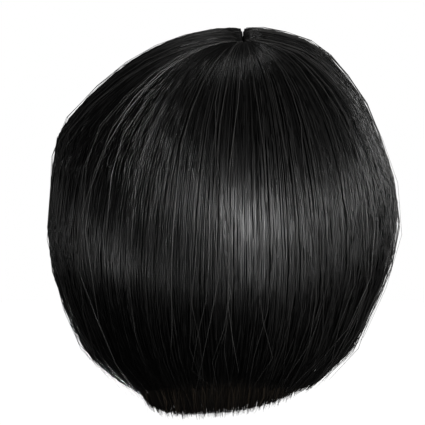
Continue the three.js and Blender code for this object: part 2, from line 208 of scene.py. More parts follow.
def bumped(graph, height, distance):
    return graph.add("ShaderNodeBump", inputs={"Height": height, "Distance": distance * mm})


def velvet():
    material, graph = new_material("black_velvet")
    place = in_mm(graph)
    pile = noise_at(graph, place, 2.6, 4.0)
    brushed = noise_at(graph, place, 0.16)
    shade = pile * 0.7 + brushed * 0.6 - 0.15
    shader = graph.add(
        "ShaderNodeBsdfPrincipled",
        inputs={
            "Base Color": mixed(graph, shade, (0.007, 0.0065, 0.0065), (0.05, 0.046, 0.046)),
            "Roughness": 0.85 + pile * 0.1,
            "Sheen Weight": 0.6,
            "Sheen Roughness": 0.45,
            "Normal": bumped(graph, pile, 0.35),
        },
    )
    finished(graph, shader)
    return material


def polyester_thread():
    material, graph = new_material("black_thread")
    twist = noise_at(graph, in_mm(graph), 3.0)
    shader = graph.add(
        "ShaderNodeBsdfPrincipled",
        inputs={
            "Base Color": mixed(graph, twist, (0.008, 0.008, 0.008), (0.03, 0.029, 0.028)),
            "Roughness": 0.4 + twist * 0.2,
            "Normal": bumped(graph, twist, 0.08),
        },
    )
    finished(graph, shader)
    return material


VELVET = velvet()
THREAD = polyester_thread()


def tubes_along(graph, curves, radius, sides, material, scale=1.0, rounded=False):
    """The end of a tree: tubes along its curves, made real and given their material."""
    ring = graph.add("GeometryNodeCurvePrimitiveCircle", inputs={"Resolution": sides, "Radius": radius})
    inputs = {"Curve": curves, "Profile Curve": ring, "Scale": scale, "Fill Caps": True}
    tubes = graph.add("GeometryNodeCurveToMesh", inputs=inputs)
    if rounded:
        tubes = graph.add("GeometryNodeSetShadeSmooth", inputs={"Geometry": tubes, "Shade Smooth": True})
    tubes = graph.add("GeometryNodeRealizeInstances", inputs={"Geometry": tubes})
    tubes = graph.add("GeometryNodeSetMaterial", inputs={"Geometry": tubes, "Material": material})
    graph.add("NodeGroupOutput", inputs={"Geometry": tubes})
    return graph.tree


def stitch_tree():
    """Every edge that comes in becomes one stitch, full in the middle and pinched at its ends."""
    inputs = {"Radius": ("Float", STITCH_RADIUS * mm), "Material": ("Material", None)}
    graph, given = geometry_tree("stitches", inputs)
    curve = graph.add("GeometryNodeMeshToCurve", inputs={"Mesh": given["Geometry"]})
    curve = graph.add("GeometryNodeResampleCurve", inputs={"Curve": curve, "Count": 4})
    along = graph.add("GeometryNodeSplineParameter")["Factor"]
    fullness = 1.0 - (along * 2.0 - 1.0) ** 2.0 * 0.55
    return tubes_along(graph, curve, given["Radius"], 4, given["Material"], fullness)


STITCHES = stitch_tree()


def stitched(name, legs, body="cap", radius=STITCH_RADIUS):
    """A piece of thread from the two ends of each stitch, in millimetres."""
    points = np.asarray(legs, float).reshape(-1, 3) * mm
    mesh = bpy.data.meshes.new(name)
    mesh.from_pydata(points.tolist(), np.arange(len(points)).reshape(-1, 2).tolist(), [])
    piece = grown(name, mesh, STITCHES, {"Radius": radius * mm, "Material": THREAD})
    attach(piece, body)
    return piece


def legs_along(line):
    """The stitches end to end along a line of points."""
    return np.stack([line[:-1], line[1:]], 1)


def stored(mesh, name, kind, field, values):
    """Puts a value on each point of a mesh, for its material or its tree."""
    values = np.ravel(values).astype(np.float32)
    mesh.attributes.new(name, kind, "POINT").data.foreach_set(field, values)


def softened(node, name, material, body, edge, cloth=None):
    """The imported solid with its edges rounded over, standing for the node."""
    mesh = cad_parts[node].data.copy()
    mesh.materials.clear()
    mesh.materials.append(material)
    form = bmesh.new()
    form.from_mesh(mesh)
    bmesh.ops.remove_doubles(form, verts=form.verts, dist=1e-6)
    bmesh.ops.dissolve_limit(form, angle_limit=math.radians(1), verts=form.verts, edges=form.edges)
    form.to_mesh(mesh)
    form.free()
    holder = placed(name, mesh)
    bevel = holder.modifiers.new("edge", "BEVEL")
    bevel.width = edge * mm
    bevel.segments = 3
    bevel.limit_method = "ANGLE"
    bevel.angle_limit = math.radians(35)
    made = evaluated_mesh(holder)
    if cloth:
        at = np.zeros(len(made.vertices) * 3)
        made.vertices.foreach_get("co", at)
        stored(made, "cloth", "FLOAT_VECTOR", "vector", cloth(at.reshape(-1, 3) / mm))
    made.shade_smooth()
    made.set_sharp_from_angle(angle=math.radians(40))
    piece = placed(name, made)
    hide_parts(node)
    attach(piece, body)
    return piece


softened("crown_patch", "crown_patch_velvet", VELVET, "cap", 0.3)
turns = np.radians(np.arange(0, 360, PATCH_STITCH_PITCH))
ends = np.stack([turns, turns + math.radians(PATCH_STITCH_TURN)], 1)
ring = np.stack([PATCH_STITCH_RING * np.cos(ends), PATCH_STITCH_RING * np.sin(ends), 0 * ends - 0.05], -1)
stitched("crown_patch_stitches", ring)


# ---- Skin top
# An oval of fine knitted base on top of the cap, which the outer hair is knotted into. A stretch cap
# follows the head: half an ellipsoid over the top, and a longer half down to the neck. Angles go
# round the head from 0 at the face, over 90 at the left ear, to 180 at the nape.

CAP_HALF_WIDTH = 76
CAP_HALF_LENGTH = 96
CAP_LEVEL = -85
CAP_TOP = 1.9
CAP_DROP = 170


def inside_cap(p, off):
    """True where points lie within the cap's surface grown outwards by off."""
    half = np.where(p[..., 2] > CAP_LEVEL, CAP_TOP - CAP_LEVEL, CAP_DROP)
    across = p[..., 0] / (CAP_HALF_WIDTH + off)
    along = p[..., 1] / (CAP_HALF_LENGTH + off)
    up = (p[..., 2] - CAP_LEVEL) / (half + off)
    return across**2 + along**2 + up**2 < 1


def halve(low, high, is_low, steps=26):
    """The place between low and high where is_low turns false, for a whole array at once."""
    for _ in range(steps):
        middle = (low + high) / 2
        below = is_low(middle)
        low = np.where(below, middle, low)
        high = np.where(below, high, middle)
    return (low + high) / 2


def smooth(x, low, high):
    t = np.clip((x - low) / (high - low), 0, 1)
    return t * t * (3 - 2 * t)


def lerp(a, b, t):
    return a + (b - a) * t


# The cap's lower edge as angle and height: hairline, temples, round the ears, nape.
RIM = np.array(
    [(0, -48), (30, -50), (60, -70), (78, -84), (98, -86), (112, -100), (135, -130), (155, -143), (180, -148)]
)


def rim_height(angle):
    from_face = np.abs((angle + 180) % 360 - 180)
    return np.interp(from_face, RIM[:, 0], RIM[:, 1])


SKIN_HALF_WIDTH = 30
SKIN_HALF_LENGTH = 50
SKIN_THICKNESS = 0.9
SEAM = 0.3


def cap_point(angle, polar, off=0.0):
    a, u = np.radians(angle), np.radians(polar)
    half = np.where(polar < 90, CAP_TOP - CAP_LEVEL, CAP_DROP)
    x = (CAP_HALF_WIDTH + off) * np.sin(u) * np.sin(a)
    y = -(CAP_HALF_LENGTH + off) * np.sin(u) * np.cos(a)
    return np.stack(np.broadcast_arrays(x, y, CAP_LEVEL + (half + off) * np.cos(u)), -1)


def polar_at(z):
    half = np.where(z > CAP_LEVEL, CAP_TOP - CAP_LEVEL, CAP_DROP)
    return np.degrees(np.arccos((z - CAP_LEVEL) / half))


def oval_polar(angle, inset):
    a = np.radians(angle)
    across = CAP_HALF_WIDTH * np.sin(a) / (SKIN_HALF_WIDTH - inset)
    along = CAP_HALF_LENGTH * np.cos(a) / (SKIN_HALF_LENGTH - inset)
    return np.degrees(np.arcsin(1 / np.hypot(across, along)))


def closed_skin(name, mesh, material, join=None):
    """A smooth closed skin with its faces outwards. Points nearer than join become one."""
    form = bmesh.new()
    form.from_mesh(mesh)
    if join:
        bmesh.ops.remove_doubles(form, verts=form.verts, dist=join)
    bmesh.ops.recalc_face_normals(form, faces=form.faces)
    form.to_mesh(mesh)
    form.free()
    mesh.shade_smooth()
    mesh.materials.append(material)
    return placed(name, mesh)


def lofted(name, rings, material, cloth=None, wrap=False):
    """A closed skin over rings of points in millimetres, with its ends closed unless it wraps round."""
    count, sides = rings.shape[:2]
    at = np.arange(count * sides).reshape(count, sides)
    if wrap:
        at = np.concatenate([at, at[:1]])
    turned = np.roll(at, -1, 1)
    faces = np.stack([at[:-1], turned[:-1], turned[1:], at[1:]], -1).reshape(-1, 4).tolist()
    points = rings.reshape(-1, 3)
    if not wrap:
        points = np.concatenate([points, rings[:1].mean(1), rings[-1:].mean(1)])
        first, last = len(points) - 2, len(points) - 1
        faces += [(int(a), int(b), first) for a, b in zip(turned[0], at[0])]
        faces += [(int(a), int(b), last) for a, b in zip(at[-1], turned[-1])]
    mesh = bpy.data.meshes.new(name)
    mesh.from_pydata((points * mm).tolist(), [], faces)
    if cloth is not None:
        cloth = cloth.reshape(-1, 3)
        if not wrap:
            cloth = np.concatenate([cloth, cloth[:sides].mean(0)[None], cloth[-sides:].mean(0)[None]])
        stored(mesh, "cloth", "FLOAT_VECTOR", "vector", cloth)
    return closed_skin(name, mesh, material)


def wave(graph, place, axis, pitch):
    """A ridge from 0 to 1 that repeats along one axis of a place in millimetres."""
    split = graph.add("ShaderNodeSeparateXYZ", inputs={"Vector": place})
    turn = split["XYZ"[axis]] * (2 * math.pi / pitch)
    return graph.add("ShaderNodeMath", {"operation": "SINE"}, {0: turn}) * 0.5 + 0.5


def knitted_base():
    material, graph = new_material("fine_knit_base")
    place = in_mm(graph)
    weave = (wave(graph, place, 0, 0.9) + wave(graph, place, 1, 0.9)) * 0.5
    knots = graph.add("ShaderNodeTexVoronoi", {"feature": "F1"}, {"Vector": place, "Scale": 0.8})["Distance"]
    worn = noise_at(graph, place, 0.12)
    height = weave * 0.6 + knots * 0.5
    shade = height * 0.8 + worn * 0.4 - 0.2
    shader = graph.add(
        "ShaderNodeBsdfPrincipled",
        inputs={
            "Base Color": mixed(graph, shade, (0.012, 0.01, 0.009), (0.05, 0.043, 0.038)),
            "Roughness": 0.6 + worn * 0.2,
            "Normal": bumped(graph, height, 0.2),
        },
    )
    finished(graph, shader)
    return material


# From the middle of the underside, round the cut edge, to the middle of the upper side.
angle = np.arange(0, 360, 4.0)
face = np.linspace(0.04, 0.96, 12)
inward = np.concatenate([face, [0.99, 1.0, 1.0, 0.99], face[::-1]])[:, None]
lift = np.concatenate([0 * face, [0.1, 0.3, 0.7, 0.9], 0 * face + 1])[:, None] * SKIN_THICKNESS
rings = cap_point(angle, inward * oval_polar(angle, SEAM), lift)
skin_top = lofted("skin_top_base", rings, knitted_base())
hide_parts("skin_top")
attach(skin_top, "cap")


# ---- Crown net
# Elastic hexagonal net over the top, front and temples. It stops high at the back, where lace straps
# take over, and a narrow tape binds its lower edge.

BAND_HEIGHT = 12
BINDING_WIDTH = 3.5
NET_BACK = -50
NET_THICKNESS = 0.8
NET_THREAD = 0.2
NET_COLUMNS = 150
NET_ROWS = 26


def net_edge(angle):
    from_face = np.abs((angle + 180) % 360 - 180)
    over_band = rim_height(from_face) + BAND_HEIGHT + SEAM
    return lerp(over_band, NET_BACK, smooth(from_face, 84, 120))


def net_tree():
    """Turns a skin of triangles into six-sided meshes of knotted thread."""
    inputs = {"Radius": ("Float", NET_THREAD * mm), "Material": ("Material", None)}
    graph, given = geometry_tree("net", inputs)
    cells = graph.add("GeometryNodeDualMesh", inputs={"Mesh": given["Geometry"], "Keep Boundaries": True})
    threads = graph.add("GeometryNodeMeshToCurve", inputs={"Mesh": cells})
    return tubes_along(graph, threads, given["Radius"], 3, given["Material"], rounded=True)


NET = net_tree()


def netting(name, columns, rows, point, ring, radius, material):
    """Net on point(u, v), from a skin of staggered triangles. A ring joins up at u = 1."""
    across = columns if ring else columns + 1
    v, u = np.meshgrid(np.arange(rows + 1) / rows, np.arange(across), indexing="ij")
    odd = (np.arange(rows + 1) % 2)[:, None]
    stagger = 0.5 * odd if ring else np.where((u > 0) & (u < columns), 0.5 * odd, 0)
    points = point((u + stagger) / columns, v)
    at = np.arange((rows + 1) * across).reshape(rows + 1, across)
    if ring:
        at = np.concatenate([at, at[:, :1]], 1)
    low, high = at[:-1], at[1:]
    triangles = []
    for j in range(rows):
        a, b, c, d = low[j, :-1], low[j, 1:], high[j, 1:], high[j, :-1]
        pairs = [(a, b, d), (b, c, d)] if j % 2 == 0 else [(a, b, c), (a, c, d)]
        triangles += [np.stack(p, -1) for p in pairs]
    mesh = bpy.data.meshes.new(name)
    mesh.from_pydata((points.reshape(-1, 3) * mm).tolist(), [], np.concatenate(triangles).tolist())
    return grown(name, mesh, NET, {"Radius": radius * mm, "Material": material})


def knitted_cord(name, dark, light):
    material, graph = new_material(name)
    place = in_mm(graph)
    ply = noise_at(graph, place, 1.8, 3.0)
    stretched = noise_at(graph, place, 0.06)
    shader = graph.add(
        "ShaderNodeBsdfPrincipled",
        inputs={
            "Base Color": mixed(graph, ply * 0.8 + stretched * 0.5 - 0.15, dark, light),
            "Roughness": 0.55 + ply * 0.2,
            "Sheen Weight": 0.15,
            "Normal": bumped(graph, ply, 0.1),
        },
    )
    finished(graph, shader)
    return material


NET_CORD = knitted_cord("net_cord", (0.012, 0.0115, 0.0115), (0.055, 0.052, 0.05))


def net_point(u, v):
    turn = u * 360
    return cap_point(turn, lerp(oval_polar(turn, 0), polar_at(net_edge(turn)), v), NET_THICKNESS / 2)


crown_net = netting("crown_net_mesh", NET_COLUMNS, NET_ROWS, net_point, True, NET_THREAD, NET_CORD)
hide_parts("crown_net")
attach(crown_net, "cap")


def flat_section(sides=16):
    """Points round a flat tape with rolled edges, from -1 to 1 across it and through it."""
    turn = np.arange(sides) * 2 * math.pi / sides
    across = np.sign(np.cos(turn)) * np.abs(np.cos(turn)) ** 0.3
    through = np.sign(np.sin(turn)) * np.abs(np.sin(turn)) ** 0.5
    return across, through


def tape_on_cap(name, angle, low, high, inner, outer, material, wrap=False):
    """A tape that follows the cap round the head between two heights and two offsets."""
    across, through = flat_section()
    z = lerp(low[:, None], high[:, None], (across + 1) / 2)
    off = lerp(inner, outer, (through + 1) / 2)
    rings = cap_point(angle[:, None], polar_at(z), off)
    middle = rings.mean(1)
    run = np.concatenate([[0], np.cumsum(np.linalg.norm(np.diff(middle, axis=0), axis=1))])
    cloth = np.stack(np.broadcast_arrays(run[:, None], across * (high - low)[:, None] / 2, through), -1)
    return lofted(name, rings, material, cloth, wrap)


def on_cloth(graph):
    return graph.add("ShaderNodeAttribute", {"attribute_name": "cloth"})["Vector"]


def woven_tape(name, dark, light, rib, pick, rib_depth, sheen=0.2):
    """Tape with ribs that run along it, crossed by picks."""
    material, graph = new_material(name)
    place = on_cloth(graph)
    ribs = wave(graph, place, 1, rib)
    picks = wave(graph, place, 0, pick)
    fuzz = noise_at(graph, place, 2.0, 3.0)
    worn = noise_at(graph, place, 0.09)
    height = ribs * 0.7 + picks * 0.3 + fuzz * 0.25
    shader = graph.add(
        "ShaderNodeBsdfPrincipled",
        inputs={
            "Base Color": mixed(graph, height * 0.7 + worn * 0.5 - 0.3, dark, light),
            "Roughness": 0.65 + fuzz * 0.2,
            "Sheen Weight": sheen,
            "Normal": bumped(graph, height, rib_depth),
        },
    )
    finished(graph, shader)
    return material


EDGE_TAPE = woven_tape("folded_edge_tape", (0.008, 0.008, 0.008), (0.055, 0.054, 0.053), 1.3, 0.7, 0.22)
turns = np.arange(0, 360, 2.0)
edge = net_edge(turns)
binding = tape_on_cap("net_binding", turns, edge, edge + BINDING_WIDTH, 0.05, 0.95, EDGE_TAPE, wrap=True)
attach(binding, "cap")


# ---- Edge bands
# Folded tape round the cap's lower edge: front, two sides and nape. The tape is closed with a zigzag
# along its upper edge and a straight row along the lower one.

BAND_THICKNESS = 1.0
BAND_GAP = 0.15

for name, start, end in (
    ("front_band", -60, 60),
    ("nape_band", 132, 228),
    ("side_band_left", 60, 132),
    ("side_band_right", 228, 300),
):
    angle = np.linspace(start + BAND_GAP, end - BAND_GAP, int((end - start) / 1.5))
    rim = rim_height(angle)
    band = tape_on_cap(name + "_tape", angle, rim, rim + BAND_HEIGHT, 0, BAND_THICKNESS, EDGE_TAPE)
    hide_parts(name)
    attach(band, "cap")


def zigzag(angle, height, off, swing):
    """Stitches that swing up and down along a line round the cap."""
    z = height + swing * np.where(np.arange(len(angle)) % 2, 1, -1)
    return legs_along(cap_point(angle, polar_at(z), off))


BAND_FACES = (-0.05, BAND_THICKNESS + 0.05)
turns = np.arange(0, 360, 0.35)
low_turns = np.arange(0, 360, 0.45)
rows = [zigzag(turns, rim_height(turns) + BAND_HEIGHT - 1.9, off, 0.9) for off in BAND_FACES]
rows += [zigzag(low_turns, rim_height(low_turns) + 1.8, off, 0.0)[::2] for off in BAND_FACES]
stitched("edge_band_stitches", np.concatenate(rows))


# ---- Lace straps
# Seven straps of stretch lace run from the net down to the nape band. Each is an open ground with a
# scalloped cord down both edges, caught at both ends.

STRAPS = 7
STRAP_WIDTH = 9
STRAP_SPACING = 19
STRAP_GAP = 1.2
SCALLOPS = 16
WAVES = 8

LACE_THREAD = 0.17
LACE_EDGE = 0.36
LACE_CORD = knitted_cord("lace_cord", (0.012, 0.0115, 0.0115), (0.065, 0.062, 0.06))

for k in range(STRAPS):
    middle = 180 + (k - (STRAPS - 1) / 2) * STRAP_SPACING
    half_span = math.degrees(STRAP_WIDTH / 2 / CAP_HALF_LENGTH)

    def lace_point(u, v):
        a = middle + (u - 0.5) * 2 * half_span
        top = net_edge(a) - STRAP_GAP
        bottom = rim_height(a) + BAND_HEIGHT + STRAP_GAP
        return cap_point(a, polar_at(lerp(top, bottom, v)), NET_THICKNESS / 2)

    ground = netting(f"lace_strap_{k + 1}_ground", 6, 50, lace_point, False, LACE_THREAD, LACE_CORD)
    v = np.linspace(0, 1, 121)
    scallop = 0.05 + 0.05 * np.cos(v * 2 * math.pi * SCALLOPS)
    middle_wave = 0.5 + 0.26 * np.sin(v * 2 * math.pi * WAVES)
    cords = [legs_along(lace_point(u, v)) for u in (scallop, 1 - scallop, middle_wave)]
    stitched(f"lace_strap_{k + 1}_cords", np.concatenate(cords), radius=LACE_EDGE)
    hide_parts(f"lace_strap_{k + 1}")
    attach(ground, "cap")


# ---- Ear tabs
# A velvet tab hangs in front of each ear from a fold under the side band, and a flat plastic stay
# stiffens it. The stay lies against the tab's inner face, held by two rows of stitches.

FINE_STITCH = 0.13
TAB_FROM = 76
TAB_TO = 96
TAB_DROP = 27
TAB_TOP = float(rim_height(np.array(86.0))) - 1.5
STAY_INSET = 3


def mirrored(points, side):
    return points * np.array([side, 1, 1])


def flexible_plastic(name, dark, light, roughness):
    material, graph = new_material(name)
    place = in_mm(graph)
    flow = noise_at(graph, place, 0.5, 3.0)
    grain = noise_at(graph, place, 5.0)
    shader = graph.add(
        "ShaderNodeBsdfPrincipled",
        inputs={
            "Base Color": mixed(graph, flow, dark, light),
            "Roughness": roughness + flow * 0.15,
            "Normal": bumped(graph, grain, 0.03),
        },
    )
    finished(graph, shader)
    return material


STAY_PLASTIC = flexible_plastic("stay_plastic", (0.012, 0.012, 0.012), (0.03, 0.03, 0.03), 0.3)


def tab_height(u, v):
    rounding = np.sqrt(1 - (0.9 * (2 * u - 1)) ** 2)
    return TAB_TOP - v * TAB_DROP * (0.55 + 0.45 * rounding)


for name, side in (("left", 1), ("right", -1)):
    steps = np.linspace(0, 1, 25)
    v, u = np.meshgrid(steps, steps, indexing="ij")
    swell = np.sqrt(np.clip(1 - np.abs(2 * u - 1) ** 8, 0, 1) * np.clip(1 - np.abs(2 * v - 1) ** 8, 0, 1))
    angle = lerp(TAB_FROM, TAB_TO, u)
    polar = polar_at(tab_height(u, v))
    faces = [mirrored(cap_point(angle, polar, 0.5 + 0.5 * s * swell), side) for s in (-1, 1)]
    at = np.arange(faces[0].size // 3).reshape(u.shape)
    quads = np.stack([at[:-1, :-1], at[:-1, 1:], at[1:, 1:], at[1:, :-1]], -1).reshape(-1, 4)
    mesh = bpy.data.meshes.new("ear_tab")
    mesh.from_pydata(
        (np.concatenate([f.reshape(-1, 3) for f in faces]) * mm).tolist(),
        [],
        np.concatenate([quads, quads[:, ::-1] + at.size]).tolist(),
    )
    tab = closed_skin(f"ear_tab_{name}_velvet", mesh, VELVET, join=1e-6)
    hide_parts(f"ear_tab_{name}")
    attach(tab, f"ear_tab_fold_{name}")

    middle = (TAB_FROM + TAB_TO) / 2
    top = TAB_TOP - STAY_INSET
    z = np.linspace(top, top - TAB_DROP + 2 * STAY_INSET, 24)
    rounding = np.clip(1 - np.abs(np.linspace(-1, 1, 24)) ** 12, 0.02, 1) ** 0.5
    across, through = flat_section(12)
    across, through = across * rounding[:, None], through * rounding[:, None]
    rings = cap_point(middle + 0.9 * across, polar_at(z)[:, None], -0.8 + 0.4 * through)
    stay = lofted(f"ear_tab_stay_{name}_strip", mirrored(rings, side), STAY_PLASTIC)
    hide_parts(f"ear_tab_stay_{name}")
    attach(stay, f"ear_tab_fold_{name}")

    legs = []
    for offset in (-1.7, 1.7):
        z = np.linspace(top + 1, top - TAB_DROP + 2 * STAY_INSET - 1, 33)
        line = cap_point(np.full(33, middle + offset), polar_at(z), -0.08)
        legs.append(legs_along(line)[::2])
    border_u = np.concatenate([np.full(26, 0.07), np.linspace(0.07, 0.93, 40), np.full(26, 0.93)])
    border_v = np.concatenate([np.linspace(0.06, 0.93, 26), np.full(40, 0.93), np.linspace(0.93, 0.06, 26)])
    border_angle = lerp(TAB_FROM, TAB_TO, border_u)
    border_polar = polar_at(tab_height(border_u, border_v))
    legs += [legs_along(cap_point(border_angle, border_polar, off))[::2] for off in (-0.03, 1.03)]
    legs = mirrored(np.concatenate(legs), side)
    stitched(f"ear_tab_{name}_stitches", legs, f"ear_tab_fold_{name}", FINE_STITCH)


# ---- Nape adjusters
# An elastic strap inside each side of the nape is sewn down at one end and loops round the bar of a
# moulded hook at the other. The hook goes into one of four loops on a tape, to draw the cap in.

ANCHOR_ANGLE = 126
AIM_ANGLE = 158
ABOVE_RIM = 6.5
ADJUSTER_INSIDE = -2.6
TAPE_ANGLES = (161, 176)
TAPE_INSIDE = -2.4
TAPE_LENGTH = 20.5
TAPE_HEIGHT = 9

# The sewn box and its cross that hold a strap down, along the strap and across it.
BOX_CORNERS = np.array([(1, -2.3), (5.5, -2.3), (5.5, 2.3), (1, 2.3)])
BOX_LINES = ((0, 1), (1, 2), (2, 3), (3, 0), (0, 2), (3, 1))


def edge_frame(start, end, inside):
    """A place inside the cap's edge, and its directions along the edge, into the head and up."""
    ends = np.array([start, end], float)
    at = cap_point(ends, polar_at(rim_height(ends) + ABOVE_RIM), inside)
    along = (at[1] - at[0]) / np.linalg.norm(at[1] - at[0])
    up = np.array([0, 0, 1]) - along[2] * along
    up = up / np.linalg.norm(up)
    return at[0], np.stack([along, np.cross(up, along), up])


ELASTIC_DARK = (0.008, 0.0075, 0.0075)
ELASTIC = woven_tape("woven_elastic", ELASTIC_DARK, (0.06, 0.057, 0.056), 1.0, 0.55, 0.2, 0.1)
HOOK_PLASTIC = flexible_plastic("hook_plastic", (0.008, 0.008, 0.008), (0.02, 0.02, 0.02), 0.22)

for name, side in (("left", 1), ("right", -1)):
    place, axes = edge_frame(ANCHOR_ANGLE, AIM_ANGLE, ADJUSTER_INSIDE)

    def laid(points):
        p = (mirrored(points, side) - place) @ axes.T
        return p[:, [0, 2, 1]]

    strap, hook = f"adjuster_strap_{name}", f"adjuster_hook_{name}"
    softened(strap, f"{strap}_elastic", ELASTIC, f"adjuster_{name}", 0.2, laid)
    softened(hook, f"{hook}_moulding", HOOK_PLASTIC, f"hook_{name}", 0.25)
    legs = []
    for a, b in BOX_LINES:
        flat = lerp(BOX_CORNERS[a], BOX_CORNERS[b], np.linspace(0, 1, 6)[:, None])
        for face in (-0.42, 0.42):
            line = np.stack([flat[:, 0], 0 * flat[:, 0] + face, flat[:, 1]], -1) @ axes + place
            legs.append(legs_along(line))
    legs = mirrored(np.concatenate(legs), side)
    stitched(f"adjuster_{name}_stitches", legs, f"adjuster_{name}", FINE_STITCH)

    place, axes = edge_frame(*TAPE_ANGLES, TAPE_INSIDE)
    softened(f"hook_loops_{name}", f"hook_loops_{name}_tape", ELASTIC, "cap", 0.18, laid)
    legs = []
    for z in (-TAPE_HEIGHT / 2 + 0.35, TAPE_HEIGHT / 2 - 0.35):
        x = np.linspace(0.5, TAPE_LENGTH - 0.5, 21)
        line = np.stack([x, 0 * x + 0.36, 0 * x + z], -1) @ axes + place
        legs.append(legs_along(line)[::2])
    legs = mirrored(np.concatenate(legs), side)
    stitched(f"hook_loops_{name}_stitches", legs, "cap", FINE_STITCH)


# ---- Wefts round the back and sides
# Ten rows of machine-sewn weft, row 1 along the nape and row 10 round the crown, each a stitched head
# with straight black fibre hanging from it. Every row's hair lies on the rows below it.

# Each strand lies in an upright plane, from the parting to the widest outline, and turns in under the
# bob: phi is 0 on the parting, 90 at the widest level and near 140 at the tips.
HAIR_HALF_WIDTH = 104
HAIR_HALF_LENGTH = 115
HAIR_MIDDLE_Y = 6
HAIR_TOP = 17
HAIR_END_TOP = 10
HAIR_LEVEL = -97
HAIR_FLOOR = -215
BACK_SAG = 22
PARTING_X = -13
WHORL_Y = 38
PARTING_FRONT_Y = -30
PARTING_DIP = 1.2
UNDER_CENTRE = (0, 14)

# Where the set hair swells or is pressed in at the two sides: side, height, reach and depth.
SWELLS = [
    (1, -44, 18, 4.6),
    (1, -84, 14, -2.2),
    (1, -182, 16, 4.5),
    (-1, 8, 12, 4.5),
    (-1, -46, 16, -1.5),
    (-1, -96, 16, 1.2),
    (-1, -149, 12, -4.0),
]


def plane_of(angle, phi):
    a = np.radians(angle)
    outline = np.stack([HAIR_HALF_WIDTH * np.sin(a), HAIR_MIDDLE_Y - HAIR_HALF_LENGTH * np.cos(a)], -1)
    root_y = np.clip(outline[..., 1], PARTING_FRONT_Y, WHORL_Y)
    t = smooth(phi, 50, 110)
    centre = np.stack([lerp(PARTING_X, UNDER_CENTRE[0], t), lerp(root_y, UNDER_CENTRE[1], t)], -1)
    along = (2 * root_y - WHORL_Y - PARTING_FRONT_Y) / (WHORL_Y - PARTING_FRONT_Y)
    return outline, centre, lerp(HAIR_TOP, HAIR_END_TOP, along**2)


def hair_point(angle, phi, scale=1.0):
    """A point of the outer surface, or nearer the middle of the head where scale is under 1."""
    outline, centre, top = plane_of(angle, phi)
    p = np.radians(phi)
    backness = np.clip(-np.cos(np.radians(angle)), 0, 1) ** 2
    level = HAIR_LEVEL - BACK_SAG * backness
    rise = np.where(phi < 90, top - level, level - HAIR_FLOOR)
    reach = (np.sin(p) * scale)[..., None]
    flat = centre + (outline - centre) * reach
    z = level + rise * np.cos(p) * scale
    away = np.linalg.norm(outline - centre, axis=-1) * np.sin(p)
    z = z - PARTING_DIP * np.exp(-((away / 5) ** 2))
    sideness = np.sin(np.radians(angle))
    push = sum(depth * np.exp(-(((z - height) / spread) ** 2)) * (sideness * side > 0)
               for side, height, spread, depth in SWELLS)
    push = push * np.abs(sideness) ** 3
    x = flat[..., 0] + np.sign(sideness) * push * smooth(phi, 6, 25)
    return np.stack([x, flat[..., 1], z], -1)


def layer_point(angle, phi, off):
    """The same strand pressed down until it stands off the cap's surface by off."""
    scale = halve(np.full(np.shape(phi), 0.2), np.full(np.shape(phi), 1.6),
                  lambda s: inside_cap(hair_point(angle, phi, s), off))
    return hair_point(angle, phi, scale)


